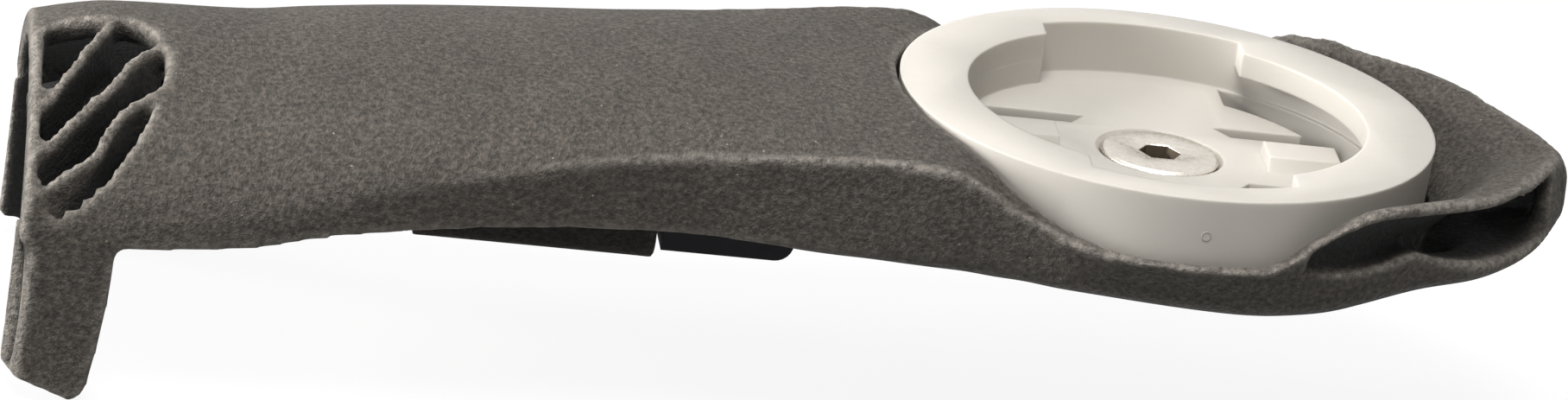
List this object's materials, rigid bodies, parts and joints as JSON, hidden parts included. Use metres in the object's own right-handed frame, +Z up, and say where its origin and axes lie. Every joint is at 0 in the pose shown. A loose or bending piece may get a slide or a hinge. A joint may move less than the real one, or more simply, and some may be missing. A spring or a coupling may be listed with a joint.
{
  "type": "bike computer mount",
  "caption": "Long hollow handlebar arm with a domed rear end, hanging tabs, an open-mouthed nose and a screwed-in quarter-turn socket for a bike computer.",
  "frame": {"origin": "centre of the socket insert's top rim plane, on the socket's axis", "axes": "+X along the arm to the nose, +Y to the side away from the picture's camera, +Z up out of the socket"},
  "size_m": [0.1019, 0.0382, 0.0219],
  "materials": {
    "printed_nylon": "grainy sintered nylon",
    "insert_plastic": "satin moulded",
    "screw_steel": "bright nickel",
    "nut_steel": "plain",
    "plate_plastic": "smooth moulded",
    "dark_steel": "black oxide",
    "insert_brass": "plain"
  },
  "bodies": {
    "root": {"arm_body": "printed_nylon", "twist_lock_insert": "insert_plastic", "insert_screw": "screw_steel", "insert_nut": "nut_steel", "keel_plate": "plate_plastic", "plate_screws": "dark_steel", "thread_inserts": "insert_brass"}
  },
  "joints": []
}
